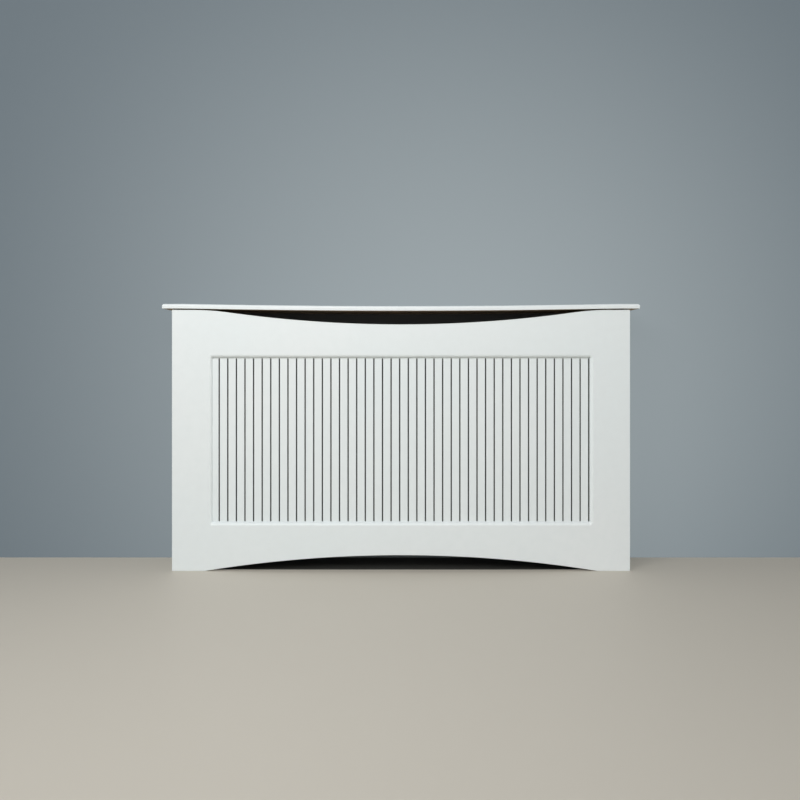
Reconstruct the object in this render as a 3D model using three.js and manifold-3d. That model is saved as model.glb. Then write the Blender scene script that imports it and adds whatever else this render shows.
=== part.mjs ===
// Radiator cover cabinet: a painted board box, open at the back and underneath, that
// stands against a wall over a radiator. Millimetres, +Z up. X runs along the wall, the
// grille looks towards -Y and the wall is at +Y. The origin is on the floor, at the middle
// of the footprint. Every size is the real size of the piece.

import * as THREE from 'three';
import { mergeVertices } from 'three/addons/utils/BufferGeometryUtils.js';
import Module from 'manifold-3d';

const wasm = await Module();
wasm.setup();

// ------------------------------------------------------------ driving dimensions

// The cabinet as a whole
const cabinetHeight = 900; // floor to the top of the shelf at its ends
const frontWidth = 1544; // front board, edge to edge
const shelfDepth = 200; // moulded front edge of the shelf to the wall
const seam = 0.2; // paint and glue line between two boards

// Shelf: one board, rounded over along its front and both ends
const shelfThickness = 16;
const shelfSideOverhang = 31.5;
const shelfFrontOverhang = 6;
const shelfNoseRadius = 8; // quarter round on the upper edge
const shelfArris = 1; // small chamfer on the lower edge
const shelfSag = 7.4; // the long board hangs this much at its middle
const shelfSagFullness = 1.1; // 1 is a parabola, more flattens it towards its ends

// Front board, with a shallow scoop in its top edge and an arch in its bottom edge
const frontThickness = 16;
const frontTopGap = 3.9; // shows as a dark line, and clears the shelf where it hangs
const scoopDepth = 49.2;
const scoopEndFlat = 130.6; // from the board's edge to where the scoop's arc would start
const scoopBlendRadius = 900; // easing between the level stretch and the scoop
const archRise = 53;
const archEndFlat = 111; // length of each foot

// Opening in the front board
const stileWidth = 134;
const topRail = 161.4;
const bottomRail = 162.5;
const openingRoundOver = 11;
const openingStraight = 0.8; // least square edge left behind the round-over
const openingCornerRadius = 2;

// Grille: a thin slotted sheet in a rebate behind the opening. It is cut from a longer
// sheet, so the last slot lies right against the opening's edge and the first one doesn't.
const grilleThickness = 4;
const grilleOverlap = 22;
const grilleFitGap = 1; // room round the sheet in its rebate
const slotWidth = 4.4;
const slotPitch = 29.09;
const slotRightMargin = 2.5; // opening's edge to the last slot's middle
const slotLeftMargin = 20; // least distance from the opening's edge to the first slot
const slotTopMargin = 2;
const slotBottomMargin = 1.8;

// Side boards, notched at the back to pass over the skirting board
const sideThickness = 16;
const skirtingNotchDepth = 22;
const skirtingNotchHeight = 110;

// Softwood: a batten in each front corner and a cleat under each end of the shelf
const battenWidth = 25;
const battenBottomGap = 20;
const battenTopGap = 10;
const cleatWidth = 20;
const cleatLength = 120;
const cleatFrontGap = 10; // batten to cleat

// Wall brackets: bent steel angles, two on each side board
const bracketFlange = 40;
const bracketHeight = 20;
const bracketThickness = 2;
const bracketBendRadius = 3;
const bracketHoleInset = 15; // bend to the nearer hole
const bracketHoleSpacing = 15;
const wallHoleDiameter = 5.2;
const upperBracketDrop = 123.8; // top of the side board to the upper bracket
const lowerBracketHeight = 200;

// Screws
const screwClearance = 0.3;
const woodScrewDiameter = 4;
const woodScrewHeadDiameter = 8;
const woodScrewHeadDepth = 2.4;
const panScrewDiameter = 3.5;
const panScrewHeadDiameter = 7;
const panScrewHeadHeight = 2.4;
const screwTipLength = 3;
const blindHoleRoom = 1.5; // a screw's tip to the bottom of its hole
const screwSkin = 6; // board left beyond the tip of a screw
const battenScrewInset = 110; // batten's end to its nearest screw
const battenScrewStagger = 36; // the side screws sit this much higher than the front ones
const battenScrewCount = 3;
const cleatSideScrewInset = 15;
const cleatShelfScrewInset = 40;
const grilleScrewsAcross = 5; // along the top edge, and again along the bottom edge
const grilleScrewEndInset = 60; // sheet's end to the nearest of them

// How finely curves are divided
const roundSides = 10;
const noseSteps = 5;
const roundOverSteps = 5;
const cornerSteps = 3;
const scoopSteps = 28;
const blendSteps = 3;
const sagSteps = 24;
const slotEndSteps = 3;
const bendSteps = 4;

// ---------------------------------------------------------- positions that follow

const shelfWidth = frontWidth + 2 * shelfSideOverhang;
const shelfUnderside = cabinetHeight - shelfThickness;
const boardHeight = shelfUnderside - seam;
const wallY = shelfDepth / 2;
const shelfFrontY = -shelfDepth / 2;
const frontFaceY = shelfFrontY + shelfFrontOverhang;
const frontBackY = frontFaceY + frontThickness;
const sideOuterX = frontWidth / 2;
const sideInnerX = sideOuterX - sideThickness;
const sideFrontY = frontBackY + seam;
const frontHeight = shelfUnderside - frontTopGap;
const shelfHalfSpan = sideInnerX - seam - cleatWidth; // the shelf hangs between its cleats

const openingRight = sideOuterX - stileWidth;
const openingLeft = -openingRight;
const openingBottom = bottomRail;
const openingTop = frontHeight - topRail;

const grilleBackY = frontBackY;
const grilleFrontY = grilleBackY - grilleThickness;
const rebateFloorY = grilleFrontY - seam;
const lipThickness = rebateFloorY - frontFaceY; // board left in front of the grille
const grilleRight = openingRight + grilleOverlap;
const grilleBottom = openingBottom - grilleOverlap;
const grilleTop = openingTop + grilleOverlap;

const scoopHalfChord = sideOuterX - scoopEndFlat;
const archHalfChord = sideOuterX - archEndFlat;

// ------------------------------------------------------------------------ finishes

const finishes = {
  paint: new THREE.MeshStandardMaterial({ color: 0xe8ebe8, roughness: 0.45, metalness: 0 }),
  softwood: new THREE.MeshStandardMaterial({ color: 0xd8b884, roughness: 0.7, metalness: 0 }),
  zinc: new THREE.MeshStandardMaterial({ color: 0xb8bcc0, roughness: 0.35, metalness: 0.9 }),
};

// ------------------------------------------------------------------ geometry helpers

// A solid for cutting, from a closed geometry
function toSolid(geometry) {
  const bare = new THREE.BufferGeometry();
  bare.setAttribute('position', geometry.getAttribute('position').clone());
  if (geometry.index) bare.setIndex(geometry.index.clone());
  const merged = mergeVertices(bare, 1e-4);
  const corners = merged.index.array;
  const triangles = [];
  for (let i = 0; i < corners.length; i += 3) {
    const [a, b, c] = [corners[i], corners[i + 1], corners[i + 2]];
    if (a !== b && b !== c && c !== a) triangles.push(a, b, c);
  }
  const mesh = new wasm.Mesh({
    numProp: 3,
    vertProperties: new Float32Array(merged.getAttribute('position').array),
    triVerts: new Uint32Array(triangles),
  });
  return new wasm.Manifold(mesh);
}

function toGeometry(solid) {
  const mesh = solid.getMesh();
  const geometry = new THREE.BufferGeometry();
  geometry.setAttribute('position', new THREE.BufferAttribute(mesh.vertProperties, 3));
  geometry.setIndex(new THREE.BufferAttribute(mesh.triVerts, 1));
  return geometry;
}

function cut(geometry, cutters) {
  let solid = toSolid(geometry);
  for (const cutter of cutters) solid = solid.subtract(toSolid(cutter));
  return toGeometry(solid);
}

// A block between two corners
function block([x0, y0, z0], [x1, y1, z1]) {
  const geometry = new THREE.BoxGeometry(Math.abs(x1 - x0), y1 - y0, z1 - z0);
  return geometry.translate((x0 + x1) / 2, (y0 + y1) / 2, (z0 + z1) / 2);
}

// An outline of [x, z] points, extruded from y0 to y1
function plate(outline, holes, y0, y1) {
  const shape = new THREE.Shape(outline.map(([x, z]) => new THREE.Vector2(x, z)));
  for (const hole of holes) {
    shape.holes.push(new THREE.Path(hole.map(([x, z]) => new THREE.Vector2(x, z))));
  }
  const geometry = new THREE.ExtrudeGeometry(shape, { depth: y1 - y0, bevelEnabled: false });
  return geometry.rotateX(Math.PI / 2).translate(0, y1, 0);
}

// Points on an arc, both ends included. Angles are in radians, anticlockwise from +X.
function arc([x, y], radius, start, end, steps) {
  return Array.from({ length: steps + 1 }, (_, i) => {
    const angle = start + ((end - start) * i) / steps;
    return [x + radius * Math.cos(angle), y + radius * Math.sin(angle)];
  });
}

// A rectangle with rounded corners, anticlockwise from its left side
function roundedRectangle([left, bottom], [right, top], radius, steps) {
  const quarter = Math.PI / 2;
  return [
    ...arc([left + radius, bottom + radius], radius, 2 * quarter, 3 * quarter, steps),
    ...arc([right - radius, bottom + radius], radius, 3 * quarter, 4 * quarter, steps),
    ...arc([right - radius, top - radius], radius, 0, quarter, steps),
    ...arc([left + radius, top - radius], radius, quarter, 2 * quarter, steps),
  ];
}

// A closed skin over rings of [x, y, z] points, which run anticlockwise seen from the last
// ring. Point i of a ring faces its point n - 1 - i, and each end is closed in strips
// between those.
function loft(rings) {
  const count = rings[0].length;
  const at = (ring, i) => ring * count + (i % count);
  const index = [];
  for (let ring = 0; ring + 1 < rings.length; ring++) {
    for (let i = 0; i < count; i++) {
      index.push(at(ring, i), at(ring, i + 1), at(ring + 1, i + 1));
      index.push(at(ring, i), at(ring + 1, i + 1), at(ring + 1, i));
    }
  }
  const last = rings.length - 1;
  for (let i = 0; i + 1 < count / 2; i++) {
    const facing = count - 1 - i;
    index.push(at(last, i), at(last, i + 1), at(last, facing - 1));
    index.push(at(last, i), at(last, facing - 1), at(last, facing));
    index.push(at(0, i), at(0, facing - 1), at(0, i + 1));
    index.push(at(0, i), at(0, facing), at(0, facing - 1));
  }
  const geometry = new THREE.BufferGeometry();
  geometry.setAttribute('position', new THREE.Float32BufferAttribute(rings.flat(2), 3));
  geometry.setIndex(index);
  return geometry;
}

// A mesh whose geometry is given in the cabinet's frame and held about its own middle
function piece(name, geometry, finish) {
  geometry.computeBoundingBox();
  const middle = geometry.boundingBox.getCenter(new THREE.Vector3());
  geometry.translate(-middle.x, -middle.y, -middle.z);
  geometry.computeVertexNormals();
  const mesh = new THREE.Mesh(geometry, finish.clone());
  mesh.name = name;
  mesh.position.copy(middle);
  return mesh;
}

// ---------------------------------------------------------------------------- screws

// Each kind of screw gives two profiles of [radius, height], from the tip up, with the face
// that it is driven into at height 0: the screw's own, and that of the hole for it.
const woodScrew = {
  body: (length) => [
    [0, -length],
    [woodScrewDiameter / 2, screwTipLength - length],
    [woodScrewDiameter / 2, -woodScrewHeadDepth],
    [woodScrewHeadDiameter / 2, 0],
    [0, 0],
  ],
  hole: (length) => [
    [0, -length - blindHoleRoom],
    [woodScrewDiameter / 2 + screwClearance, -length],
    [woodScrewDiameter / 2 + screwClearance, -woodScrewHeadDepth],
    [woodScrewHeadDiameter / 2 + screwClearance, 0],
    [woodScrewHeadDiameter / 2 + screwClearance, 1],
    [0, 1],
  ],
};

const panScrew = {
  body: (length) => [
    [0, -length],
    [panScrewDiameter / 2, screwTipLength - length],
    [panScrewDiameter / 2, seam],
    [panScrewHeadDiameter / 2, seam],
    [panScrewHeadDiameter / 2, panScrewHeadHeight / 2],
    [panScrewHeadDiameter / 3, panScrewHeadHeight],
    [0, panScrewHeadHeight],
  ],
  hole: (length) => [
    [0, -length - blindHoleRoom],
    [panScrewDiameter / 2 + screwClearance, -length],
    [panScrewDiameter / 2 + screwClearance, 1],
    [0, 1],
  ],
};

function turned(profile) {
  const points = profile.map(([radius, height]) => new THREE.Vector2(radius, height));
  return new THREE.LatheGeometry(points, roundSides);
}

// A screw driven into a face at a seat, along a direction, and the hole that it needs
function drive(name, kind, length, seat, direction) {
  const mesh = new THREE.Mesh(turned(kind.body(length)), finishes.zinc.clone());
  mesh.name = name;
  mesh.position.set(...seat);
  const down = new THREE.Vector3(0, -1, 0);
  mesh.quaternion.setFromUnitVectors(down, new THREE.Vector3(...direction));
  mesh.updateMatrix();
  return { mesh, hole: turned(kind.hole(length)).applyMatrix4(mesh.matrix) };
}

const meshesOf = (screws) => screws.map((screw) => screw.mesh);
const holesOf = (screws) => screws.map((screw) => screw.hole);

// Evenly spaced places from first to last
function spread(first, last, count) {
  return Array.from({ length: count }, (_, i) => first + ((last - first) * i) / (count - 1));
}

// ------------------------------------------------------------------- grille and its screws

function slotOutline(x) {
  const bottom = openingBottom + slotBottomMargin;
  const top = openingTop - slotTopMargin;
  const radius = slotWidth / 2;
  return [
    ...arc([x, bottom + radius], radius, Math.PI, 2 * Math.PI, slotEndSteps),
    ...arc([x, top - radius], radius, 0, Math.PI, slotEndSteps),
  ];
}

function slotPlaces() {
  const last = openingRight - slotRightMargin;
  const count = Math.floor((last - openingLeft - slotLeftMargin) / slotPitch) + 1;
  return Array.from({ length: count }, (_, i) => last - i * slotPitch);
}

function grilleScrews() {
  const middleOfEdge = grilleOverlap / 2;
  const endX = grilleRight - grilleScrewEndInset;
  const across = spread(-endX, endX, grilleScrewsAcross);
  const places = [
    ...across.map((x) => [x, openingTop + middleOfEdge]),
    ...across.map((x) => [x, openingBottom - middleOfEdge]),
    [openingLeft - middleOfEdge, (openingBottom + openingTop) / 2],
    [openingRight + middleOfEdge, (openingBottom + openingTop) / 2],
  ];
  const length = frontThickness - screwSkin;
  return places.map(([x, z], i) => {
    const name = `grille_screw_${String(i + 1).padStart(2, '0')}`;
    return drive(name, panScrew, length, [x, grilleBackY, z], [0, -1, 0]);
  });
}

function grillePanel(holes) {
  const outline = [
    [-grilleRight, grilleBottom],
    [grilleRight, grilleBottom],
    [grilleRight, grilleTop],
    [-grilleRight, grilleTop],
  ];
  const slots = slotPlaces().map(slotOutline);
  const sheet = plate(outline, slots, grilleFrontY, grilleBackY);
  return piece('grille_panel', cut(sheet, holes), finishes.paint);
}

// ------------------------------------------------------------------------- front board

// Points of a shallow circular dip below a level edge, from right to left, about the dip's
// middle. A blend rounds the corner where the level edge turns down into the arc.
function dip(halfChord, depth, blend) {
  const radius = (halfChord ** 2 + depth ** 2) / (2 * depth);
  const blendX = Math.sqrt((radius + blend) ** 2 - (radius - depth + blend) ** 2);
  const tilt = Math.asin(blendX / (radius + blend));
  const up = Math.PI / 2;
  const bowl = arc([0, radius - depth], radius, tilt - up, -tilt - up, scoopSteps);
  if (blend === 0) return bowl;
  return [
    ...arc([blendX, -blend], blend, up, up + tilt, blendSteps).slice(0, -1),
    ...bowl,
    ...arc([-blendX, -blend], blend, up - tilt, up, blendSteps).slice(1),
  ];
}

function frontOutline() {
  const scoop = dip(scoopHalfChord, scoopDepth, scoopBlendRadius);
  const arch = dip(archHalfChord, archRise, 0);
  return [
    [-sideOuterX, 0],
    ...arch.map(([x, z]) => [-x, -z]),
    [sideOuterX, 0],
    [sideOuterX, frontHeight],
    ...scoop.map(([x, z]) => [x, frontHeight + z]),
    [-sideOuterX, frontHeight],
  ];
}

// The room inside the opening, widening towards the front by a quarter round
function openingRoom() {
  const roundOver = Math.min(openingRoundOver, lipThickness - openingStraight);
  const ring = (grow, depth) =>
    roundedRectangle(
      [openingLeft - grow, openingBottom - grow],
      [openingRight + grow, openingTop + grow],
      openingCornerRadius + grow,
      cornerSteps
    ).map(([x, z]) => [x, frontFaceY + depth, z]);
  const flare = arc([roundOver, roundOver], roundOver, Math.PI, 1.5 * Math.PI, roundOverSteps);
  return loft([
    ring(0, frontThickness + 1),
    ...flare.map(([grow, depth]) => ring(grow, depth)),
    ring(roundOver, -1),
  ]);
}

// The step at the back of the board that the grille lies in
function grilleRebate() {
  return block(
    [-grilleRight - grilleFitGap, rebateFloorY, grilleBottom - grilleFitGap],
    [grilleRight + grilleFitGap, frontBackY + 1, grilleTop + grilleFitGap]
  );
}

function frontPanel(holes) {
  const board = plate(frontOutline(), [], frontFaceY, frontBackY);
  const rooms = [openingRoom(), grilleRebate(), ...holes];
  return piece('front_panel', cut(board, rooms), finishes.paint);
}

// ------------------------------------------------------------------------------ shelf

// The shelf is carried at its ends and hangs down a little between them
function sagAt(x) {
  const share = Math.min(Math.abs(x) / shelfHalfSpan, 1);
  return shelfSag * (1 - share ** 2) ** shelfSagFullness;
}

function shelfRing(inset, height) {
  const end = shelfWidth / 2 - inset;
  const stations = [-end, ...spread(-shelfHalfSpan, shelfHalfSpan, sagSteps + 1), end];
  const row = (y) => stations.map((x) => [x, y, shelfUnderside + height - sagAt(x)]);
  return [...row(shelfFrontY + inset), ...row(wallY).reverse()];
}

function topShelf(holes) {
  const noseCentre = [shelfNoseRadius, shelfThickness - shelfNoseRadius];
  const edge = [
    [shelfArris, 0],
    [0, shelfArris],
    ...arc(noseCentre, shelfNoseRadius, Math.PI, Math.PI / 2, noseSteps),
  ];
  const board = loft(edge.map(([inset, height]) => shelfRing(inset, height)));
  return piece('top_shelf', cut(board, holes), finishes.paint);
}

// ---------------------------------------------------------------------- wall brackets

// A bent angle in the corner of a side board and the wall, and its two screws
function wallBracket(side, name, height) {
  const corner = sideInnerX - seam;
  const place = ([fromSide, fromWall]) => [side * (corner - fromSide), wallY - fromWall];
  const bend = [bracketBendRadius, bracketBendRadius];
  const inner = bracketBendRadius - bracketThickness;
  const outline = [
    [0, bracketFlange],
    ...arc(bend, bracketBendRadius, Math.PI, 1.5 * Math.PI, bendSteps),
    [bracketFlange, 0],
    [bracketFlange, bracketThickness],
    ...arc(bend, inner, 1.5 * Math.PI, Math.PI, bendSteps),
    [bracketThickness, bracketFlange],
  ];
  const shape = new THREE.Shape(outline.map((point) => new THREE.Vector2(...place(point))));
  const angle = new THREE.ExtrudeGeometry(shape, { depth: bracketHeight, bevelEnabled: false });
  angle.translate(0, 0, height - bracketHeight / 2);

  const insets = [bracketHoleInset, bracketHoleInset + bracketHoleSpacing];
  const wallHoles = insets.map((inset) => {
    const [x, y] = place([inset, bracketThickness / 2]);
    const hole = new THREE.CylinderGeometry(
      wallHoleDiameter / 2,
      wallHoleDiameter / 2,
      2 * bracketThickness,
      roundSides
    );
    return hole.translate(x, y, height);
  });
  const length = bracketThickness + seam + sideThickness - screwSkin;
  const screws = insets.map((inset, i) => {
    const [x, y] = place([bracketThickness, inset]);
    const screwName = `bracket_screw_${name}_${i + 1}`;
    return drive(screwName, panScrew, length, [x, y, height], [side, 0, 0]);
  });
  const cutters = [...wallHoles, ...holesOf(screws)];
  return { bracket: piece(`wall_bracket_${name}`, cut(angle, cutters), finishes.zinc), screws };
}

// ----------------------------------------------------------------------- side assembly

// One end of the cabinet: side is -1 at the left and 1 at the right, seen from the front
function cabinetEnd(side) {
  const name = side < 0 ? 'left' : 'right';
  const outerX = sideInnerX - seam; // where the timbers meet the side board

  // Batten in the front corner
  const battenInnerX = outerX - battenWidth;
  const battenFrontY = sideFrontY;
  const battenBackY = battenFrontY + battenWidth;
  const battenTop = boardHeight - battenTopGap;
  const battenHeights = spread(
    battenBottomGap + battenScrewInset,
    battenTop - battenScrewInset,
    battenScrewCount
  );
  const frontScrews = battenHeights.map((z, i) => {
    const length = battenWidth + seam + frontThickness - screwSkin;
    const seat = [side * (battenInnerX + battenWidth / 2), battenBackY, z];
    return drive(`batten_front_screw_${name}_${i + 1}`, woodScrew, length, seat, [0, -1, 0]);
  });
  const sideScrews = battenHeights.map((z, i) => {
    const length = battenWidth + seam + sideThickness - screwSkin;
    const seat = [side * battenInnerX, battenFrontY + battenWidth / 2, z + battenScrewStagger];
    return drive(`batten_side_screw_${name}_${i + 1}`, woodScrew, length, seat, [side, 0, 0]);
  });
  const battenBlock = block(
    [side * battenInnerX, battenFrontY, battenBottomGap],
    [side * outerX, battenBackY, battenTop]
  );
  const battenCut = cut(battenBlock, holesOf([...frontScrews, ...sideScrews]));
  const batten = piece(`corner_batten_${name}`, battenCut, finishes.softwood);

  // Cleat under the shelf
  const cleatInnerX = outerX - cleatWidth;
  const cleatFrontY = battenBackY + cleatFrontGap;
  const cleatBackY = cleatFrontY + cleatLength;
  const cleatBottom = boardHeight - cleatWidth;
  const cleatScrews = spread(
    cleatFrontY + cleatSideScrewInset,
    cleatBackY - cleatSideScrewInset,
    2
  ).map((y, i) => {
    const length = cleatWidth + seam + sideThickness - screwSkin;
    const seat = [side * cleatInnerX, y, cleatBottom + cleatWidth / 2];
    return drive(`cleat_side_screw_${name}_${i + 1}`, woodScrew, length, seat, [side, 0, 0]);
  });
  const shelfScrews = spread(
    cleatFrontY + cleatShelfScrewInset,
    cleatBackY - cleatShelfScrewInset,
    2
  ).map((y, i) => {
    const length = cleatWidth + seam + shelfThickness - screwSkin;
    const seat = [side * (cleatInnerX + cleatWidth / 2), y, cleatBottom];
    return drive(`cleat_shelf_screw_${name}_${i + 1}`, woodScrew, length, seat, [0, 0, 1]);
  });
  const cleatBlock = block(
    [side * cleatInnerX, cleatFrontY, cleatBottom],
    [side * outerX, cleatBackY, boardHeight]
  );
  const cleatCut = cut(cleatBlock, holesOf([...cleatScrews, ...shelfScrews]));
  const cleat = piece(`shelf_cleat_${name}`, cleatCut, finishes.softwood);

  // Brackets, and the side board that all of these are screwed to
  const upper = wallBracket(side, `${name}_upper`, boardHeight - upperBracketDrop);
  const lower = wallBracket(side, `${name}_lower`, lowerBracketHeight);
  const bracketScrews = [...upper.screws, ...lower.screws];
  const notch = block(
    [side * (sideInnerX - 1), wallY - skirtingNotchDepth, -1],
    [side * (sideOuterX + 1), wallY + 1, skirtingNotchHeight]
  );
  const sideBlock = block(
    [side * sideInnerX, sideFrontY, 0],
    [side * sideOuterX, wallY, boardHeight]
  );
  const sideHoles = holesOf([...sideScrews, ...cleatScrews, ...bracketScrews]);
  const panelCut = cut(sideBlock, [notch, ...sideHoles]);
  const panel = piece(`side_panel_${name}`, panelCut, finishes.paint);

  const group = new THREE.Group();
  group.add(panel, batten, cleat, upper.bracket, lower.bracket);
  const screws = [...frontScrews, ...sideScrews, ...cleatScrews, ...shelfScrews];
  group.add(...meshesOf([...screws, ...bracketScrews]));
  return { group, frontHoles: holesOf(frontScrews), shelfHoles: holesOf(shelfScrews) };
}

// ------------------------------------------------------------------------- the cabinet

const ends = [cabinetEnd(-1), cabinetEnd(1)];
const grilleFixings = grilleScrews();
const grilleHoles = holesOf(grilleFixings);

const front = new THREE.Group();
front.add(frontPanel([...grilleHoles, ...ends.flatMap((end) => end.frontHoles)]));
front.add(grillePanel(grilleHoles), ...meshesOf(grilleFixings));

const cabinet = new THREE.Group();
cabinet.name = 'radiator_cover_cabinet';
cabinet.add(topShelf(ends.flatMap((end) => end.shelfHoles)));
cabinet.add(front, ...ends.map((end) => end.group));

export default cabinet;
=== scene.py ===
"""A painted radiator cover cabinet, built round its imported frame. Metres, +Z up: the grille
faces -Y and the wall is at +Y. The boards, the slotted grille, the timbers, the wall brackets
and the screws are each a piece of their own."""

import math
import random

import bmesh
import bpy
from mathutils import Matrix, Vector
from mathutils.geometry import tessellate_polygon


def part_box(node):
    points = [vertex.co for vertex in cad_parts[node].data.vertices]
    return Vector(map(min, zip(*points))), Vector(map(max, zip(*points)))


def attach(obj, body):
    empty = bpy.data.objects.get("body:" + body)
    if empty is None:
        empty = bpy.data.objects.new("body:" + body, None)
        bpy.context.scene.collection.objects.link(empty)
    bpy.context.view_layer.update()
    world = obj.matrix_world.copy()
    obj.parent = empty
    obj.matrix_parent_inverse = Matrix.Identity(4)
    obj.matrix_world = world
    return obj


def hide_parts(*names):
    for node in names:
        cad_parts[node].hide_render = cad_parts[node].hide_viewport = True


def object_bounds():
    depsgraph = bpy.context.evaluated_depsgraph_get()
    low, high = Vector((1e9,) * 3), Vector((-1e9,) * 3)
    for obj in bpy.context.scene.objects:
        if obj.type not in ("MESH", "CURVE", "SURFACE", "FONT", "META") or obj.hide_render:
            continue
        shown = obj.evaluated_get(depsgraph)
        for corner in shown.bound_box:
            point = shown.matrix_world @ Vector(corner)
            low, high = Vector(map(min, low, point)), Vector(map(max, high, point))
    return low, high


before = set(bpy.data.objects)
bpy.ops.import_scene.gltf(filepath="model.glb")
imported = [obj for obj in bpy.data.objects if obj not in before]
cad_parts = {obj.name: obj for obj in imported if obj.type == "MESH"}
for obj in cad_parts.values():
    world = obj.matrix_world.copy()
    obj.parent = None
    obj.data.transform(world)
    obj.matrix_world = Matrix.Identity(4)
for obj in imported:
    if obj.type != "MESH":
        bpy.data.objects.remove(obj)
cad_low, cad_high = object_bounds()

MM = 0.001
BODY = "root"
SIDES = (("left", -1), ("right", 1))

# ------------------------------------------------------------------ camera and photograph

PHOTO_SIDE = 800  # pixels
METRES_PER_PIXEL = 3.37 * MM  # on the front board's face
VANISHING_COLUMN = 401.0  # pixel column and row that the camera looks straight at
VANISHING_ROW = 363.25
CAMERA_DISTANCE = 2.8  # to the front board's face
CAMERA_HEIGHT = 0.70
SENSOR = 36.0  # millimetres

# ------------------------------------------------------------------------ lamps and world

LAMPS = (  # name, place, size, watts
    ("key", (-0.1, -6.0, 3.5), (2.4, 2.0), 129),
    ("overhead", (-0.9, -2.0, 2.0), (1.2, 1.0), 20.8),
    ("back_key", (-2.6, 3.4, 2.2), (2.2, 2.0), 64),
    ("back_fill", (2.8, 3.0, 1.6), (2.2, 2.0), 55),
)
LAMP_TARGET = (0, 0, 0.45)
SIDE_SUN_STRENGTH = 0.52
SIDE_SUN_ANGLE = math.radians(6)
SIDE_SUN_FALL = 0.08  # how much it comes down for each metre along the wall
WORLD_COLOUR = (0.96, 0.98, 1.0)
WORLD_STRENGTH = 0.45

# --------------------------------------------------- sizes that the frame's boxes don't say

ARRIS = 1.0 * MM  # softened edge of a painted board
SHELF_THICKNESS = 16 * MM
SHELF_NOSE = 8 * MM  # quarter round on the shelf's upper edge
SHELF_LOWER_ARRIS = 1.5 * MM
SAG_FULLNESS = 1.1  # 1 is a parabola
SCOOP_DEPTH = 49.2 * MM
SCOOP_END_FLAT = 130.6 * MM
SCOOP_BLEND = 900 * MM
ARCH_RISE = 53 * MM
ARCH_END_FLAT = 111 * MM
OPENING_ROUND_OVER = 11 * MM
OPENING_CORNER = 2 * MM
ROUND_OVER_STEPS = 12
GRILLE_OVERLAP = 22 * MM
GRILLE_FIT_GAP = 1 * MM  # room round the grille in its rebate
GRILLE_CORNER = 1.5 * MM
SEAM = 0.2 * MM
SLOT_WIDTH = 4.4 * MM
SLOT_PITCH = 29.09 * MM
SLOT_RIGHT_MARGIN = 2.5 * MM
SLOT_LEFT_MARGIN = 20 * MM
SLOT_TOP_MARGIN = 2 * MM
SLOT_BOTTOM_MARGIN = 1.8 * MM
SLOT_ARRIS = 0.35 * MM
NOTCH_DEPTH = 22 * MM
NOTCH_HEIGHT = 110 * MM
BRACKET_THICKNESS = 2 * MM
BRACKET_BEND = 3 * MM
BRACKET_HOLES = (15 * MM, 30 * MM)  # from the bend
WALL_HOLE_RADIUS = 2.6 * MM
BRACKET_SCREW_HOLE_RADIUS = 2.1 * MM
BRACKET_ARRIS = 0.25 * MM
SIDE_BOARD_ARRIS = 0.6 * MM
SIDE_BOARD_BACK_ARRIS = 0.4 * MM
TIMBER_ARRIS = 1.2 * MM
PAINT_CARRIED = 7 * MM  # round an edge onto a bare face, at most

# -------------------------------------------------------------------------------- colours

PAINT_COOL = (0.772, 0.825, 0.827)
PAINT_WARM = (0.798, 0.832, 0.831)
PAINT_THIN = (0.757, 0.800, 0.799)
BOARD_DARK = (0.300, 0.195, 0.112)
BOARD_PALE = (0.385, 0.262, 0.158)
BOARD_FIBRE = (0.52, 0.40, 0.27)
BOARD_PORE = (0.16, 0.095, 0.05)
WOOD_DARK = (0.60, 0.42, 0.235)
WOOD_PALE = (0.70, 0.52, 0.32)
WOOD_RING = (0.46, 0.27, 0.12)
CLEAR_ZINC = ((0.62, 0.64, 0.66), (0.52, 0.54, 0.57))
YELLOW_ZINC = ((0.74, 0.62, 0.36), (0.60, 0.52, 0.36))
FLOOR = (0.56, 0.52, 0.45)
# Painted shade: dark sheets behind the cabinet and on the floor inside it, where the inside of
# the cabinet is in shade.
CARD_PAINTED_SHADE_BEHIND = (0.15, 0.15, 0.145)
CARD_PAINTED_SHADE_UNDER = (0.035, 0.036, 0.03)
WALL = (0.318, 0.348, 0.365)
# Painted light: the glow at the middle of the pool painted on the wall, and the painted dimming
# at its edge.
WALL_PAINTED_POOL_GLOW = (0.352, 0.402, 0.423)
WALL_PAINTED_POOL_DIM = (0.11, 0.145, 0.17)

# ------------------------------------------------------------------- sizes of the stage

STAGE_REACH = 9.0
STAGE_HEIGHT = 7.0
PAINTED_POOL_CENTRE = (0.26, 0.1, 0.61)  # of the pool of light painted on the wall, which glows for the camera
PAINTED_POOL_RADIUS = 2.2
PAINTED_POOL_SHARE = 0.75  # how much of the wall's look comes from the painted pool of light
WALL_GAP = 1 * MM  # behind the cabinet
SHADED_WALL_INSET = 44 * MM  # behind the cabinet's ends, so that the notches show the wall's painted pool of light
CARD_GAP = 0.5 * MM  # behind the cabinet, and over the floor
CARD_SIDE_GAP = 17 * MM  # between the ends of the painted shade cards and the board's ends
CARD_FOOT_GAP = 2 * MM  # between the upright card and the notches' tops

# ------------------------------------------------------------- places taken from the frame

front_low, front_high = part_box("front_panel")
grille_low, grille_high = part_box("grille_panel")
shelf_low, shelf_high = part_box("top_shelf")
half_front = front_high.x
scoop_half_chord = half_front - SCOOP_END_FLAT
shelf_underside = shelf_high.z - SHELF_THICKNESS
shelf_sag = shelf_underside - shelf_low.z
shelf_half_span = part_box("shelf_cleat_right")[0].x  # it hangs between its cleats
opening_right = grille_high.x - GRILLE_OVERLAP
opening_bottom = grille_low.z + GRILLE_OVERLAP
opening_top = grille_high.z - GRILLE_OVERLAP


# ------------------------------------------------------------------------- node materials


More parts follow.
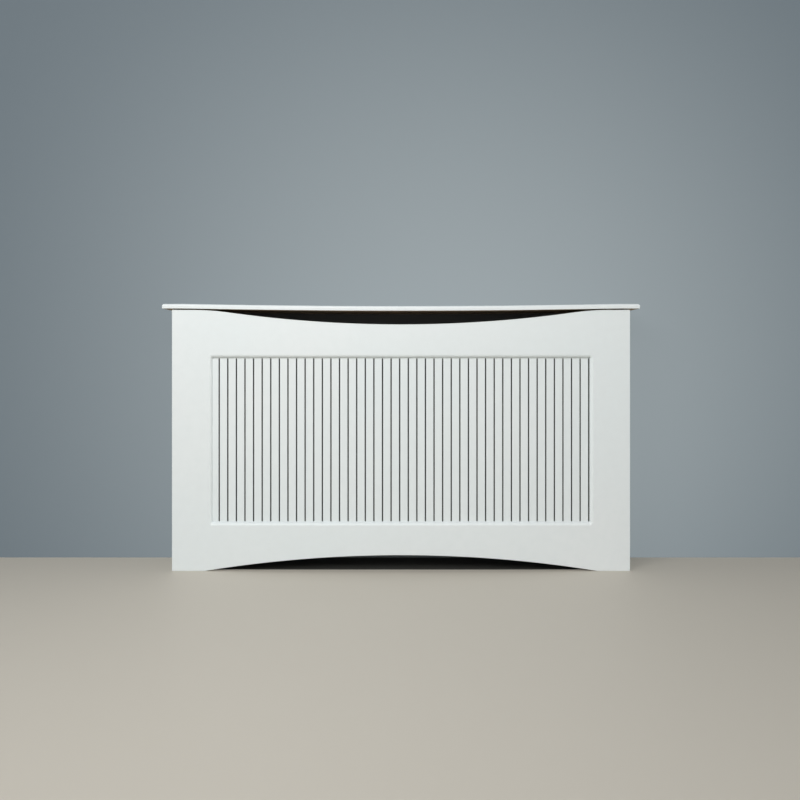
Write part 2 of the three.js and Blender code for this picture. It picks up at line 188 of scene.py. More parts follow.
def node(tree, kind, inputs=None, **settings):
    """A shader node with its settings and its inputs, given as values or as sockets."""
    made = tree.nodes.new("ShaderNode" + kind)
    for name, value in settings.items():
        setattr(made, name, value)
    for key, value in (inputs or {}).items():
        if isinstance(value, bpy.types.NodeSocket):
            tree.links.new(value, made.inputs[key])
        else:
            made.inputs[key].default_value = value
    return made


def new_material(name):
    """An empty material: its tree, its output node and itself."""
    material = bpy.data.materials.new(name)
    material.use_nodes = True
    tree = material.node_tree
    tree.nodes.clear()
    return material, tree, tree.nodes.new("ShaderNodeOutputMaterial")


def noise(tree, place, scale, detail=2.0, roughness=0.5):
    """A noise value about 0.5, from coordinates in metres."""
    inputs = {"Vector": place, "Scale": scale, "Detail": detail, "Roughness": roughness}
    return node(tree, "TexNoise", inputs).outputs["Fac"]


def remap(tree, value, low, high, new_low, new_high):
    """value, with low to high stretched to new_low to new_high and clamped there."""
    inputs = {"Value": value, "From Min": low, "From Max": high}
    inputs.update({"To Min": new_low, "To Max": new_high})
    return node(tree, "MapRange", inputs).outputs["Result"]


def blend(tree, factor, first, second):
    """A colour between first and second."""
    made = node(tree, "Mix", {"Factor": factor}, data_type="RGBA")
    for socket, value in zip((made.inputs[6], made.inputs[7]), (first, second)):
        if isinstance(value, bpy.types.NodeSocket):
            tree.links.new(value, socket)
        else:
            socket.default_value = (*value, 1)
    return made.outputs[2]


def bump(tree, height, depth, under=None):
    """A bumped normal, depth metres deep, over another normal if given."""
    inputs = {"Height": height, "Distance": depth, "Strength": 1.0}
    if under is not None:
        inputs["Normal"] = under
    return node(tree, "Bump", inputs).outputs["Normal"]


def stretched(tree, place, scale):
    """Coordinates scaled along each axis."""
    return node(tree, "Mapping", {"Vector": place, "Scale": scale}).outputs["Vector"]


def object_place(tree):
    """The piece's own coordinates, in metres."""
    return node(tree, "TexCoord").outputs["Object"]


def finish(tree, output, **inputs):
    """Ends a tree in one Principled shader."""
    named = {key.replace("_", " "): value for key, value in inputs.items()}
    if isinstance(named["Base Color"], tuple):
        named["Base Color"] = (*named["Base Color"], 1)
    shader = node(tree, "BsdfPrincipled", named)
    tree.links.new(shader.outputs["BSDF"], output.inputs["Surface"])
    return shader


def paint_parts(tree, place):
    """Colour, roughness and normal of white satin paint, sprayed on board."""
    drift = noise(tree, place, 2.2, 2.0)
    mottle = noise(tree, place, 34.0, 4.0, 0.6)
    even = blend(tree, remap(tree, drift, 0.3, 0.7, 0, 1), PAINT_COOL, PAINT_WARM)
    colour = blend(tree, remap(tree, mottle, 0.35, 0.7, 0, 0.5), even, PAINT_THIN)
    roughness = remap(tree, mottle, 0.3, 0.7, 0.36, 0.5)
    peel = bump(tree, noise(tree, place, 380.0, 2.5, 0.55), 0.05 * MM)
    waves = bump(tree, noise(tree, place, 26.0, 1.5), 0.12 * MM, peel)
    return colour, roughness, waves


def paint_material():
    """The white satin paint, by itself."""
    material, tree, output = new_material("satin_white_paint")
    colour, roughness, normal = paint_parts(tree, object_place(tree))
    finish(tree, output, Base_Color=colour, Roughness=roughness, Normal=normal)
    return material


def bare_board_material():
    """Raw fibreboard, with the paint carried a few millimetres round its edges."""
    material, tree, output = new_material("bare_fibreboard")
    place = object_place(tree)
    fibres = noise(tree, stretched(tree, place, (900, 900, 900)), 1.0, 3.0, 0.7)
    cloud = noise(tree, place, 9.0, 4.0, 0.6)
    brown = blend(tree, remap(tree, cloud, 0.3, 0.7, 0, 1), BOARD_DARK, BOARD_PALE)
    speckled = blend(tree, remap(tree, fibres, 0.55, 0.8, 0, 0.8), brown, BOARD_FIBRE)
    pored = blend(tree, remap(tree, fibres, 0.42, 0.2, 0, 0.7), speckled, BOARD_PORE)
    white = paint_parts(tree, place)[0]
    rounded = node(tree, "Bevel", {"Radius": PAINT_CARRIED}, samples=6).outputs["Normal"]
    straight = node(tree, "NewGeometry").outputs["True Normal"]
    facing = node(tree, "VectorMath", {0: rounded, 1: straight}, operation="DOT_PRODUCT")
    wander = noise(tree, place, 120.0, 3.0, 0.6)
    ragged = {0: facing.outputs["Value"], 1: remap(tree, wander, 0.3, 0.7, -0.03, 0.03)}
    near_edge = node(tree, "Math", ragged, operation="ADD").outputs["Value"]
    painted = remap(tree, near_edge, 0.965, 0.91, 0, 1)
    colour = blend(tree, painted, pored, white)
    grain = bump(tree, fibres, 0.08 * MM)
    finish(tree, output, Base_Color=colour, Roughness=0.82, Normal=grain)
    return material


def softwood_material(name, along):
    """Planed softwood, with its grain along one axis."""
    material, tree, output = new_material(name)
    place = object_place(tree)
    squeeze = [1.0 if axis == along else 16.0 for axis in range(3)]
    flow = noise(tree, stretched(tree, place, squeeze), 2.4, 3.0, 0.5)
    rings = node(tree, "Math", {0: flow, 1: 46.0}, operation="MULTIPLY").outputs["Value"]
    wave = node(tree, "Math", {0: rings}, operation="SINE").outputs["Value"]
    late = remap(tree, wave, 0.1, 0.95, 0, 1)
    pores = noise(tree, stretched(tree, place, [v * 9 for v in squeeze]), 8.0, 4.0, 0.6)
    early = blend(tree, remap(tree, pores, 0.3, 0.7, 0, 1), WOOD_DARK, WOOD_PALE)
    colour = blend(tree, late, early, WOOD_RING)
    roughness = remap(tree, late, 0, 1, 0.68, 0.5)
    raised = bump(tree, late, 0.10 * MM, bump(tree, pores, 0.12 * MM))
    finish(tree, output, Base_Color=colour, Roughness=roughness, Normal=raised)
    return material


def zinc_material(name, bright, dull):
    """Zinc plating: faintly blotched, with fine scratches."""
    material, tree, output = new_material(name)
    place = object_place(tree)
    blotch = noise(tree, place, 160.0, 3.0, 0.6)
    scratch = noise(tree, stretched(tree, place, (300, 300, 4000)), 1.0, 2.0)
    colour = blend(tree, remap(tree, blotch, 0.35, 0.65, 0, 1), bright, dull)
    roughness = remap(tree, blotch, 0.3, 0.7, 0.24, 0.42)
    normal = bump(tree, scratch, 0.01 * MM, bump(tree, blotch, 0.02 * MM))
    finish(tree, output, Base_Color=colour, Metallic=1.0, Roughness=roughness, Normal=normal)
    return material


# ------------------------------------------------------------------------- mesh building


def arc(centre, radius, start, end, steps):
    """Points on an arc, both ends included, with angles in radians anticlockwise from +X."""
    angles = (start + (end - start) * i / steps for i in range(steps + 1))
    return [(centre[0] + radius * math.cos(a), centre[1] + radius * math.sin(a)) for a in angles]


def rounded_rectangle(low, high, radius, steps):
    """An anticlockwise loop."""
    quarter = math.pi / 2
    inner = ((low[0] + radius, low[1] + radius), (high[0] - radius, high[1] - radius))
    corners = (
        ((inner[0][0], inner[0][1]), 2),
        ((inner[1][0], inner[0][1]), 3),
        ((inner[1][0], inner[1][1]), 4),
        ((inner[0][0], inner[1][1]), 5),
    )
    loop = []
    for centre, turn in corners:
        loop += arc(centre, radius, turn * quarter, (turn + 1) * quarter, steps)
    return loop


def shifted(loop, distance):
    """The loop moved to its left by a distance: inwards if it runs anticlockwise."""
    moved = []
    for i, here in enumerate(loop):
        before, after = Vector(loop[i - 1]), Vector(loop[(i + 1) % len(loop)])
        point = Vector(here)
        first, second = (point - before).normalized(), (after - point).normalized()
        normal = Vector((-first.y - second.y, first.x + second.x))
        moved.append(point + normal * (distance / (1 + first.dot(second))))
    return moved


def edge_layers(loop, profile):
    """A board's edge as layers of points: each (into, depth) of the profile says how far
    the edge lies inside the loop, and how deep below the face."""
    return [(shifted(loop, into), depth) for into, depth in profile]


def board(name, edges, place):
    """A board closed between its edges: that of its outline, which runs anticlockwise seen
    from its face, and then those of its holes, clockwise. An edge is a list of layers, each
    a loop of points and a depth. place turns (u, v, depth) into a point."""
    mesh = bmesh.new()
    rings = []
    for layers in edges:
        verts = [[mesh.verts.new(place(u, v, depth)) for u, v in loop] for loop, depth in layers]
        for upper, lower in zip(verts, verts[1:]):
            for i in range(len(upper)):
                j = (i + 1) % len(upper)
                mesh.faces.new((upper[i], upper[j], lower[j], lower[i]))
        rings.append(verts)
    for end in (0, -1):
        flat = [[Vector((u, v, 0)) for u, v in layers[end][0]] for layers in edges]
        verts = [vert for ring in rings for vert in ring[end]]
        for corners in tessellate_polygon(flat):
            mesh.faces.new([verts[i] for i in corners])
    return finished(name, mesh)


def finished(name, mesh, smooth_angle=35):
    """An object from a bmesh, with outward faces, smooth where it turns gently."""
    bmesh.ops.recalc_face_normals(mesh, faces=mesh.faces)
    data = bpy.data.meshes.new(name)
    mesh.to_mesh(data)
    mesh.free()
    data.shade_smooth()
    data.set_sharp_from_angle(angle=math.radians(smooth_angle))
    made = bpy.data.objects.new(name, data)
    bpy.context.scene.collection.objects.link(made)
    return made


def even_normals(piece):
    """Keeps large flat faces flat beside rounded edges."""
    modifier = piece.modifiers.new("flat_faces", "WEIGHTED_NORMAL")
    modifier.keep_sharp = True


def profile_edge(thickness, face=ARRIS, back=ARRIS / 2, steps=3):
    """A square board edge with a softened corner at the face and at the back."""
    quarter = math.pi / 2
    start = arc((face, face), face, 3 * quarter, 2 * quarter, steps)
    end = arc((back, thickness - back), back, 2 * quarter, quarter, steps)
    return start + end


def stand_for(piece, cad_node, slot, *materials):
    """Gives a piece its finish, and puts it in its CAD node's place."""
    for material in materials:
        piece.data.materials.append(material)
    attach(piece, BODY)
    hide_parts(cad_node)


def paint_back(piece, direction, index=1):
    """Gives the faces that look along a direction another of the piece's materials."""
    for polygon in piece.data.polygons:
        if polygon.normal.dot(Vector(direction)) > 0.9:
            polygon.material_index = index


# -------------------------------------------------------------------------- front board


def dip(half_chord, depth, blend_radius=0.0, steps=72, blend_steps=10):
    """Points of a shallow circular dip below a level edge at height 0, right to left. A
    blend rounds the corner between them."""
    radius = (half_chord**2 + depth**2) / (2 * depth)
    blend_x = math.sqrt((radius + blend_radius) ** 2 - (radius - depth + blend_radius) ** 2)
    tilt = math.asin(blend_x / (radius + blend_radius))
    up = math.pi / 2
    bowl = arc((0, radius - depth), radius, tilt - up, -tilt - up, steps)
    if not blend_radius:
        return bowl
    right = arc((blend_x, -blend_radius), blend_radius, up, up + tilt, blend_steps)
    left = arc((-blend_x, -blend_radius), blend_radius, up - tilt, up, blend_steps)
    return right[:-1] + bowl + left[1:]


def sheet_outline(grow, corner):
    """The grille's outline, clockwise, grown on every side."""
    low = (grille_low.x - grow, grille_low.z - grow)
    high = (grille_high.x + grow, grille_high.z + grow)
    return rounded_rectangle(low, high, corner, 6)[::-1]


def front_board(paint, bare):
    """The board with the scooped top, the arched bottom and the rounded-over opening."""
    thickness = front_high.y - front_low.y
    scoop = dip(scoop_half_chord, SCOOP_DEPTH, SCOOP_BLEND)
    arch = dip(half_front - ARCH_END_FLAT, ARCH_RISE)
    outline = [(-half_front, 0.0)]
    outline += [(-x, -z) for x, z in arch]
    outline += [(half_front, 0.0), (half_front, front_high.z)]
    outline += [(x, front_high.z + z) for x, z in scoop]
    outline += [(-half_front, front_high.z)]
    radius = OPENING_ROUND_OVER
    lip = grille_low.y - SEAM - front_low.y
    rim = arc((radius, radius), radius, 1.5 * math.pi, math.pi, ROUND_OVER_STEPS) + [(0, lip)]
    opening = sheet_outline(-GRILLE_OVERLAP, OPENING_CORNER)
    rebate = sheet_outline(GRILLE_FIT_GAP, OPENING_CORNER)
    piece = board(
        "front_board",
        [
            edge_layers(outline, profile_edge(thickness)),
            edge_layers(opening, rim) + [(rebate, lip), (rebate, thickness)],
        ],
        lambda x, z, depth: (x, front_low.y + depth, z),
    )
    stand_for(piece, "front_panel", "board_paint", paint, bare)
    paint_back(piece, (0, 1, 0))
    even_normals(piece)


# ------------------------------------------------------------------------------ grille


def slot_loops():
    """The slots' outlines, right to left."""
    last = opening_right - SLOT_RIGHT_MARGIN
    count = math.floor((last + opening_right - SLOT_LEFT_MARGIN) / SLOT_PITCH) + 1
    radius = SLOT_WIDTH / 2
    bottom = opening_bottom + SLOT_BOTTOM_MARGIN + radius
    top = opening_top - SLOT_TOP_MARGIN - radius
    loops = []
    for i in range(count):
        x = last - i * SLOT_PITCH
        loop = arc((x, bottom), radius, math.pi, 2 * math.pi, 8)
        loop += arc((x, top), radius, 0, math.pi, 8)
        loops.append(loop[::-1])
    return loops


def grille_sheet(paint):
    """The slotted sheet behind the opening."""
    thickness = grille_high.y - grille_low.y
    profile = profile_edge(thickness, SLOT_ARRIS, SLOT_ARRIS, 2)
    outline = sheet_outline(0, GRILLE_CORNER)[::-1]
    piece = board(
        "grille_sheet",
        [edge_layers(loop, profile) for loop in (outline, *slot_loops())],
        lambda x, z, depth: (x, grille_low.y + depth, z),
    )
    stand_for(piece, "grille_panel", "grille_paint", paint)
    even_normals(piece)


# ------------------------------------------------------------------------------- shelf


def sag_at(x):
    """How far the shelf hangs below its ends."""
    share = min(abs(x) / shelf_half_span, 1.0)
    return shelf_sag * (1 - share**2) ** SAG_FULLNESS


def shelf_board(paint, bare):
    """The shelf, rounded on its front and both ends, and sagging between its cleats."""
    quarter = math.pi / 2
    nose_centre = (SHELF_NOSE, SHELF_THICKNESS - SHELF_NOSE)
    lower = (SHELF_LOWER_ARRIS, SHELF_LOWER_ARRIS)
    edge = arc(lower, SHELF_LOWER_ARRIS, 3 * quarter, 2 * quarter, 4)
    edge += arc(nose_centre, SHELF_NOSE, 2 * quarter, quarter, 12)
    steps = 64
    stations = [shelf_half_span * (2 * i / steps - 1) for i in range(steps + 1)]
    half = shelf_high.x
    mesh = bmesh.new()
    rings = []
    for inset, height in edge:
        xs = [inset - half, *stations, half - inset]
        rows = [(x, shelf_low.y + inset) for x in xs] + [(x, shelf_high.y) for x in reversed(xs)]
        ring = [mesh.verts.new((x, y, shelf_underside + height - sag_at(x))) for x, y in rows]
        rings.append(ring)
    count = len(rings[0])
    for below, above in zip(rings, rings[1:]):
        for i in range(count):
            j = (i + 1) % count
            mesh.faces.new((below[i], below[j], above[j], above[i]))
    for ring in (rings[0], rings[-1]):
        for i in range(count // 2 - 1):
            mesh.faces.new((ring[i], ring[i + 1], ring[count - 2 - i], ring[count - 1 - i]))
    piece = finished("shelf_board", mesh)
    stand_for(piece, "top_shelf", "board_paint", paint, bare)
    paint_back(piece, (0, 0, -1))
    even_normals(piece)


# -------------------------------------------------------------------------- side boards


def side_board(side, sign, paint, bare):
    """A side, notched at the back for a skirting board."""
    low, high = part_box(f"side_panel_{side}")
    thickness = high.x - low.x
    outer = sign * half_front
    edge = profile_edge(thickness, SIDE_BOARD_ARRIS, SIDE_BOARD_BACK_ARRIS)
    loop = [
        (low.y, 0.0),
        (high.y - NOTCH_DEPTH, 0.0),
        (high.y - NOTCH_DEPTH, NOTCH_HEIGHT),
        (high.y, NOTCH_HEIGHT),
        (high.y, high.z),
        (low.y, high.z),
    ]
    piece = board(
        f"side_board_{side}",
        [edge_layers(loop, edge)],
        lambda y, z, depth: (outer - sign * depth, y, z),
    )
    stand_for(piece, f"side_panel_{side}", "board_paint", paint, bare)
    paint_back(piece, (-sign, 0, 0))
    even_normals(piece)


# ------------------------------------------------------------------------------ screws

# Each profile is a list of (radius, height) in metres, from the middle of the head's top
# down. The shank's length is added to the last two heights.
PAN_HEAD = [
    (0.0, 0.0),
    (1.2 * MM, -0.05 * MM),
    (2.3 * MM, -0.35 * MM),
    (3.05 * MM, -0.85 * MM),
    (3.42 * MM, -1.5 * MM),
    (3.45 * MM, -2.0 * MM),
    (3.3 * MM, -2.2 * MM),
    (1.75 * MM, -2.2 * MM),
]
WOOD_HEAD = [
    (0.0, -0.02 * MM),
    (3.7 * MM, -0.02 * MM),
    (3.95 * MM, -0.2 * MM),
    (3.9 * MM, -0.45 * MM),
    (2.0 * MM, -2.6 * MM),
]
RECESS_DEPTH = 1.6 * MM
RECESS_HALF_WIDTH = 0.45 * MM
PAN_RECESS_REACH = 1.92 * MM
WOOD_RECESS_REACH = 2.0 * MM
SCREW_SIDES = 32
SCREW_TURN_SEED = 7
TIP_LENGTH = 3 * MM
COUNTERSINK_RADIUS = 4.3 * MM
COUNTERSINK_DEPTH = 2.6 * MM
CLEARANCE_RADIUS = 2.3 * MM
CUT_PAST = 2 * MM  # how far a cutter stands above what it cuts


def turned(profile, sides=SCREW_SIDES):
    """A closed mesh turned about Z from a profile that starts and ends on the axis."""
    mesh = bmesh.new()
    layers = []
    for radius, height in profile:
        if radius == 0:
            layers.append([mesh.verts.new((0, 0, height))])
            continue
        angles = (2 * math.pi * i / sides for i in range(sides))
        ring = [(radius * math.cos(a), radius * math.sin(a), height) for a in angles]
        layers.append([mesh.verts.new(point) for point in ring])
    for above, below in zip(layers, layers[1:]):
        for i in range(sides):
            j = (i + 1) % sides
            corners = [above[i % len(above)], above[j % len(above)]]
            corners += [below[j % len(below)], below[i % len(below)]]
            mesh.faces.new(list(dict.fromkeys(corners)))
    return mesh


def subtract(piece, cutters):
    """Cuts each cutter out of the piece, and deletes the cutters."""
    for cutter in cutters:
        modifier = piece.modifiers.new("cut", "BOOLEAN")
        modifier.object = cutter
        modifier.operation = "DIFFERENCE"
        modifier.solver = "EXACT"
    bpy.context.view_layer.update()
    evaluated = piece.evaluated_get(bpy.context.evaluated_depsgraph_get())
    result = bpy.data.meshes.new_from_object(evaluated)
    piece.modifiers.clear()
    piece.data = result
    for cutter in cutters:
        bpy.data.objects.remove(cutter)


def cross_cutter(reach):
    """A four-armed drive recess that narrows as it goes down."""
    half_width = RECESS_HALF_WIDTH
    mesh = bmesh.new()
    outline = []
    for turn in range(4):
        angle = turn * math.pi / 2
        along = Vector((math.cos(angle), math.sin(angle)))
        across = Vector((-along.y, along.x))
        outline += [along * reach - across * half_width, along * reach + across * half_width]
        outline += [along * half_width * 1.5 + across * half_width * 1.5]
    top = [mesh.verts.new((p.x * 1.15, p.y * 1.15, 0.4 * MM)) for p in outline]
    bottom = [mesh.verts.new((p.x * 0.45, p.y * 0.45, -RECESS_DEPTH)) for p in outline]
    for i in range(len(outline)):
        j = (i + 1) % len(outline)
        mesh.faces.new((top[i], top[j], bottom[j], bottom[i]))
    mesh.faces.new(top)
    mesh.faces.new(bottom)
    return finished("recess_cutter", mesh)


def screw_data(head, length):
    """The mesh of a screw that is length long, with its head's top at height 0."""
    shank = head[-1][0]
    profile = head + [(shank, TIP_LENGTH - length), (0.0, -length)]
    screw = finished("screw", turned(profile), 40)
    reach = PAN_RECESS_REACH if head is PAN_HEAD else WOOD_RECESS_REACH
    subtract(screw, [cross_cutter(reach)])
    data = screw.data
    data.set_sharp_from_angle(angle=math.radians(40))
    bpy.data.objects.remove(screw)
    return data


def screw_axis(name):
    """The way a screw is driven, from its node's name."""
    if name.startswith(("grille_screw", "batten_front_screw")):
        return Vector((0, -1, 0))
    if name.startswith("cleat_shelf_screw"):
        return Vector((0, 0, 1))
    return Vector((-1 if "_left" in name else 1, 0, 0))


def screws(pan_zinc, wood_zinc):
    """Every screw of the frame, in its own place and turned to a chance angle."""
    made = {}
    turns = random.Random(SCREW_TURN_SEED)
    for name in sorted(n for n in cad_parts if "screw" in n):
        low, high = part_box(name)
        axis = screw_axis(name)
        size = high - low
        length = abs(size.dot(axis))
        pan = name.startswith(("grille", "bracket"))
        key = (pan, round(length / MM, 1))
        if key not in made:
            made[key] = screw_data(PAN_HEAD if pan else WOOD_HEAD, length)
            made[key].materials.append(pan_zinc if pan else wood_zinc)
        top = (low + high) / 2 - axis * length / 2
        piece = bpy.data.objects.new(f"{name}_turned", made[key])
        bpy.context.scene.collection.objects.link(piece)
        facing = (-axis).to_track_quat("Z", "X").to_matrix().to_4x4()
        spin = Matrix.Rotation(turns.uniform(0, math.pi), 4, "Z")
        piece.matrix_world = Matrix.Translation(top) @ facing @ spin
        stand_for(piece, name, "screw_zinc")


# -------------------------------------------------------------- timbers and wall brackets


def countersink(name):
    """A cutter for the hole that a wood screw sits in."""
    low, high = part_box(name)
    axis = screw_axis(name)
    length = abs((high - low).dot(axis))
    foot = -length - 1 * MM
    profile = [(0.0, CUT_PAST), (COUNTERSINK_RADIUS, CUT_PAST), (COUNTERSINK_RADIUS, -0.2 * MM)]
    profile += [(CLEARANCE_RADIUS, -COUNTERSINK_DEPTH), (CLEARANCE_RADIUS, foot), (0.0, foot)]
    cutter = finished("countersink_cutter", turned(profile))
    top = (low + high) / 2 - axis * length / 2
    facing = (-axis).to_track_quat("Z", "X").to_matrix().to_4x4()
    cutter.matrix_world = Matrix.Translation(top) @ facing
    return cutter


def timber(name, cad_node, screw_prefixes, wood):
    """A planed length of softwood with softened edges and countersunk holes."""
    low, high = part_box(cad_node)
    mesh = bmesh.new()
    bmesh.ops.create_cube(mesh, size=1)
    for vert in mesh.verts:
        vert.co = Vector(h if c > 0 else l for c, l, h in zip(vert.co, low, high))
    rounding = {"offset": TIMBER_ARRIS, "segments": 3, "affect": "EDGES", "profile": 0.5}
    bmesh.ops.bevel(mesh, geom=mesh.edges, **rounding)
    piece = finished(name, mesh, 50)
    names = [n for n in sorted(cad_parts) if n.startswith(screw_prefixes)]
    subtract(piece, [countersink(n) for n in names])
    piece.data.set_sharp_from_angle(angle=math.radians(40))
    stand_for(piece, cad_node, "softwood", wood)
    even_normals(piece)


def wall_bracket(side, sign, level, zinc):
    """A bent steel angle with two holes in each flange."""
    cad_node = f"wall_bracket_{side}_{level}"
    low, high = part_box(cad_node)
    reach = high.x - low.x
    side_x = high.x if sign > 0 else low.x
    thick, bend = BRACKET_THICKNESS, BRACKET_BEND
    outline = [(0, reach)]
    outline += arc((bend, bend), bend, math.pi, 1.5 * math.pi, 8)
    outline += [(reach, 0), (reach, thick)]
    outline += arc((bend, bend), bend - thick, 1.5 * math.pi, math.pi, 8)
    outline += [(thick, reach)]
    edge = profile_edge(high.z - low.z, BRACKET_ARRIS, BRACKET_ARRIS, 2)
    piece = board(
        f"wall_angle_{side}_{level}",
        [edge_layers(outline, edge)],
        lambda u, v, depth: (side_x - sign * u, high.y - v, high.z - depth),
    )
    middle = (low.z + high.z) / 2
    cutters = []
    for inset in BRACKET_HOLES:
        wall_hole = Vector((side_x - sign * inset, high.y - thick / 2, middle))
        side_hole = Vector((side_x - sign * thick / 2, high.y - inset, middle))
        cutters.append(drill(wall_hole, "X", WALL_HOLE_RADIUS))
        cutters.append(drill(side_hole, "Y", BRACKET_SCREW_HOLE_RADIUS))
    subtract(piece, cutters)
    piece.data.set_sharp_from_angle(angle=math.radians(35))
    stand_for(piece, cad_node, "bracket_zinc", zinc)
    even_normals(piece)


def drill(place, turn_axis, radius):
    """A cutter for a round hole, turned a quarter from upright about an axis."""
    reach = 2 * BRACKET_THICKNESS
    profile = [(0.0, reach), (radius, reach), (radius, -reach), (0.0, -reach)]
    cutter = finished("drill_cutter", turned(profile))
    cutter.matrix_world = Matrix.Translation(place) @ Matrix.Rotation(math.pi / 2, 4, turn_axis)
    return cutter


# --------------------------------------------------------- floor, backdrop, light, camera


def flat_stage(name, corners, material):
    """A stage sheet from its four corners."""
    data = bpy.data.meshes.new(name)
    data.from_pydata(corners, [], [(0, 1, 2, 3)])
    data.materials.append(material)
    made = bpy.data.objects.new(name, data)
    bpy.context.scene.collection.objects.link(made)


def lying_sheet(name, xs, ys, z, material):
    """A level stage sheet that faces up."""
    corners = [(xs[0], ys[0], z), (xs[1], ys[0], z), (xs[1], ys[1], z), (xs[0], ys[1], z)]
    flat_stage(name, corners, material)


def standing_sheet(name, xs, y, zs, material):
    """An upright stage sheet that faces the camera."""
    corners = [(xs[0], y, zs[0]), (xs[1], y, zs[0]), (xs[1], y, zs[1]), (xs[0], y, zs[1])]
    flat_stage(name, corners, material)


def mixed(tree, factor, first, second):
    """A shader between two others."""
    return node(tree, "MixShader", {0: factor, 1: first, 2: second}).outputs["Shader"]


def one_sided(tree, surface):
    """The surface, clear from behind, and to light whose path has come through it."""
    clear = node(tree, "BsdfTransparent").outputs["BSDF"]
    behind = node(tree, "NewGeometry").outputs["Backfacing"]
    passed = node(tree, "LightPath").outputs["Transparent Depth"]
    either = node(tree, "Math", {0: behind, 1: passed}, operation="ADD").outputs["Value"]
    return mixed(tree, either, surface, clear)


def painted_light_pool(tree, surface):
    """The surface, which camera and glossy rays see mostly as a painted pool of light that glows
    and fades darker towards its edge, so only a faint shadow shows on it.
    """
    place = {0: object_place(tree), 1: PAINTED_POOL_CENTRE}
    away = node(tree, "VectorMath", place, operation="DISTANCE").outputs["Value"]
    reach = {"Value": away, "From Min": 0.0, "From Max": PAINTED_POOL_RADIUS}
    fade = node(tree, "MapRange", reach, interpolation_type="SMOOTHSTEP").outputs["Result"]
    # painted light: a glow that fades from the pool's middle to darker at its edge
    shown = {"Color": blend(tree, fade, WALL_PAINTED_POOL_GLOW, WALL_PAINTED_POOL_DIM), "Strength": 1.0}
    glow = node(tree, "Emission", shown).outputs["Emission"]
    path = node(tree, "LightPath").outputs
    rays = {0: path["Is Camera Ray"], 1: path["Is Glossy Ray"]}
    seen = node(tree, "Math", rays, operation="ADD").outputs["Value"]
    share = node(tree, "Math", {0: seen, 1: PAINTED_POOL_SHARE}, operation="MULTIPLY").outputs["Value"]
    return mixed(tree, share, surface, glow)


def stage_material(name, colour, roughness, *layers):
    """A plain colour with each layer's shader put round it."""
    material, tree, output = new_material(name)
    surface = finish(tree, output, Base_Color=colour, Roughness=roughness).outputs["BSDF"]
    for layer in layers:
        surface = layer(tree, surface)
    tree.links.new(surface, output.inputs["Surface"])
    return material


def stage():
    """The floor, the backdrop, and the dark cards of painted shade that darken the cabinet's
    inside where it shows through the slots, the scoop and the arch.
    """
    floor = stage_material("pale_floor", FLOOR, 0.55)
    whole = (-STAGE_REACH, STAGE_REACH)
    lying_sheet("floor", whole, whole, 0, floor)

    wall_y = cad_high.y + WALL_GAP
    # the wall round the cabinet glows with a painted pool of light
    wall = stage_material("pale_backdrop", WALL, 0.9, painted_light_pool, one_sided)
    shaded = stage_material("shaded_backdrop", WALL, 0.9, one_sided)
    edge = half_front - SHADED_WALL_INSET
    low_part, upper_part = (0, shelf_underside), (shelf_underside, STAGE_HEIGHT)
    standing_sheet("backdrop_behind", (-edge, edge), wall_y, low_part, shaded)
    standing_sheet("backdrop_above", (-edge, edge), wall_y, upper_part, wall)
    standing_sheet("backdrop_left", (-STAGE_REACH, -edge), wall_y, (0, STAGE_HEIGHT), wall)
    standing_sheet("backdrop_right", (edge, STAGE_REACH), wall_y, (0, STAGE_HEIGHT), wall)

    between = (CARD_SIDE_GAP - half_front, half_front - CARD_SIDE_GAP)
    card_y = cad_high.y + CARD_GAP
    heights = (NOTCH_HEIGHT + CARD_FOOT_GAP, shelf_underside)
    # painted shade: dark sheets behind the cabinet and on the floor under it
    dark = stage_material("painted_shade_card", CARD_PAINTED_SHADE_BEHIND, 1.0, one_sided)
    darker = stage_material("painted_deep_shade_card", CARD_PAINTED_SHADE_UNDER, 1.0, one_sided)
    standing_sheet("painted_shade_behind", between, card_y, heights, dark)
    lying_sheet("painted_shade_under", between, (front_high.y, card_y), CARD_GAP, darker)


def aimed(name, lamp, direction):
    """An object for a lamp, which shines along a direction."""
    made = bpy.data.objects.new(name, lamp)
    bpy.context.scene.collection.objects.link(made)
    made.rotation_euler = Vector(direction).to_track_quat("-Z", "Y").to_euler()
    return made


def soft_lamp(name, place, size, watts):
    """A large lamp that shines at the middle of the cabinet."""
    lamp = bpy.data.lights.new(name, "AREA")
    lamp.shape = "RECTANGLE"
    lamp.size, lamp.size_y = size
    lamp.energy = watts
    made = aimed(name, lamp, Vector(LAMP_TARGET) - Vector(place))
    made.location = place
    made.visible_camera = False


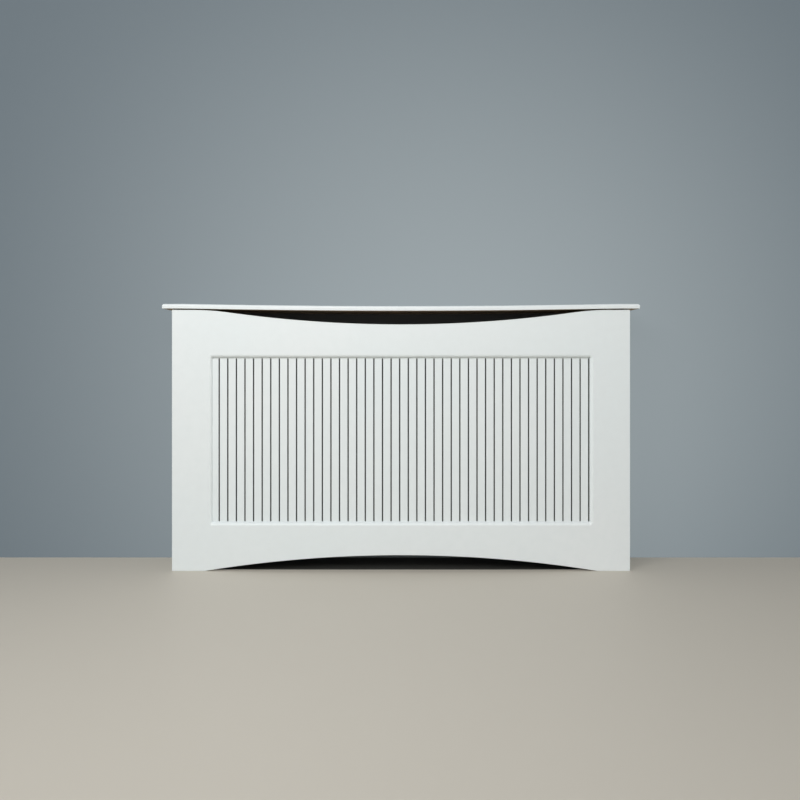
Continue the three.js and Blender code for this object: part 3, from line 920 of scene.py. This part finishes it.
def side_sun(side, sign):
    """Even light along the wall, for the cabinet's ends: it passes by the front's face."""
    lamp = bpy.data.lights.new(f"sun_{side}", "SUN")
    lamp.energy = SIDE_SUN_STRENGTH
    lamp.angle = SIDE_SUN_ANGLE
    aimed(f"sun_{side}", lamp, (-sign, 0, -SIDE_SUN_FALL))


def studio():
    """The even world light and all the lamps."""
    world = bpy.data.worlds.new("studio")
    bpy.context.scene.world = world
    world.use_nodes = True
    background = world.node_tree.nodes["Background"]
    background.inputs["Color"].default_value = (*WORLD_COLOUR, 1)
    background.inputs["Strength"].default_value = WORLD_STRENGTH
    for lamp in LAMPS:
        soft_lamp(*lamp)
    for side, sign in SIDES:
        side_sun(side, sign)


def camera():
    """The photograph's camera, square on to the front."""
    data = bpy.data.cameras.new("camera")
    data.sensor_width = SENSOR
    data.lens = SENSOR * CAMERA_DISTANCE / METRES_PER_PIXEL / PHOTO_SIDE
    data.shift_x = (PHOTO_SIDE / 2 - VANISHING_COLUMN) / PHOTO_SIDE
    data.shift_y = (VANISHING_ROW - PHOTO_SIDE / 2) / PHOTO_SIDE
    made = bpy.data.objects.new("camera", data)
    bpy.context.scene.collection.objects.link(made)
    made.location = (0, front_low.y - CAMERA_DISTANCE, CAMERA_HEIGHT)
    made.rotation_euler = (math.pi / 2, 0, 0)
    bpy.context.scene.camera = made


# ------------------------------------------------------------------------- the cabinet

camera()
paint = paint_material()
bare = bare_board_material()
upright_wood = softwood_material("softwood_upright", 2)
level_wood = softwood_material("softwood_level", 1)
bright_zinc = zinc_material("zinc_bright", *CLEAR_ZINC)
yellow_zinc = zinc_material("zinc_yellow", *YELLOW_ZINC)

front_board(paint, bare)
grille_sheet(paint)
shelf_board(paint, bare)
for side, sign in SIDES:
    side_board(side, sign, paint, bare)
    batten_screws = (f"batten_front_screw_{side}", f"batten_side_screw_{side}")
    timber(f"batten_{side}", f"corner_batten_{side}", batten_screws, upright_wood)
    cleat_screws = (f"cleat_side_screw_{side}", f"cleat_shelf_screw_{side}")
    timber(f"cleat_{side}", f"shelf_cleat_{side}", cleat_screws, level_wood)
    for level in ("upper", "lower"):
        wall_bracket(side, sign, level, bright_zinc)
screws(bright_zinc, yellow_zinc)

stage()
studio()
bpy.context.scene.view_settings.view_transform = "Standard"
